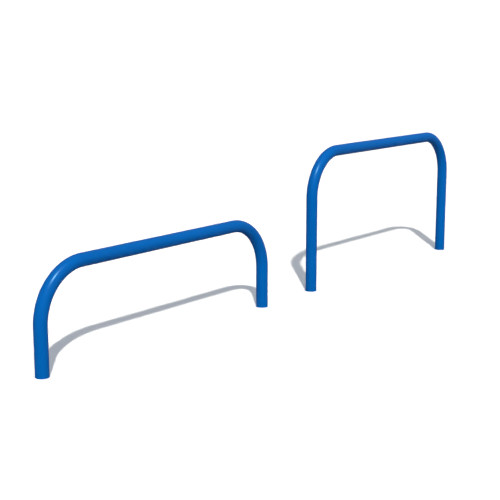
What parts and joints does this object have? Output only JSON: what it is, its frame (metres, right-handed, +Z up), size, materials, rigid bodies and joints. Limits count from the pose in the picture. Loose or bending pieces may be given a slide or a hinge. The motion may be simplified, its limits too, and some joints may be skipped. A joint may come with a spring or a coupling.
{
  "type": "parallette bar",
  "caption": "Outdoor parallette bar set: a low and a higher bent steel tube bar standing in one line, with buried bolt-down base flanges, for push-ups, dips and vaults.",
  "frame": {"origin": "on the slab under the base flanges, midway between the outermost legs of the set", "axes": "+X along the bars from the low one to the high one, +Y to the back, +Z up"},
  "size_m": [2.42, 0.12, 0.58],
  "materials": {
    "powder_coated_tube": "glossy blue powder coat on galvanised steel tube",
    "powder_coated_plate": "blue powder coat on flame-cut steel plate",
    "powder_coated_weld": "blue powder coat over a rippled fillet weld"
  },
  "bodies": {
    "root": {"low_bar_tube": "powder_coated_tube", "high_bar_tube": "powder_coated_tube", "low_left_flange": "powder_coated_plate", "low_right_flange": "powder_coated_plate", "high_left_flange": "powder_coated_plate", "high_right_flange": "powder_coated_plate", "low_left_weld": "powder_coated_weld", "low_right_weld": "powder_coated_weld", "high_left_weld": "powder_coated_weld", "high_right_weld": "powder_coated_weld"}
  },
  "joints": []
}
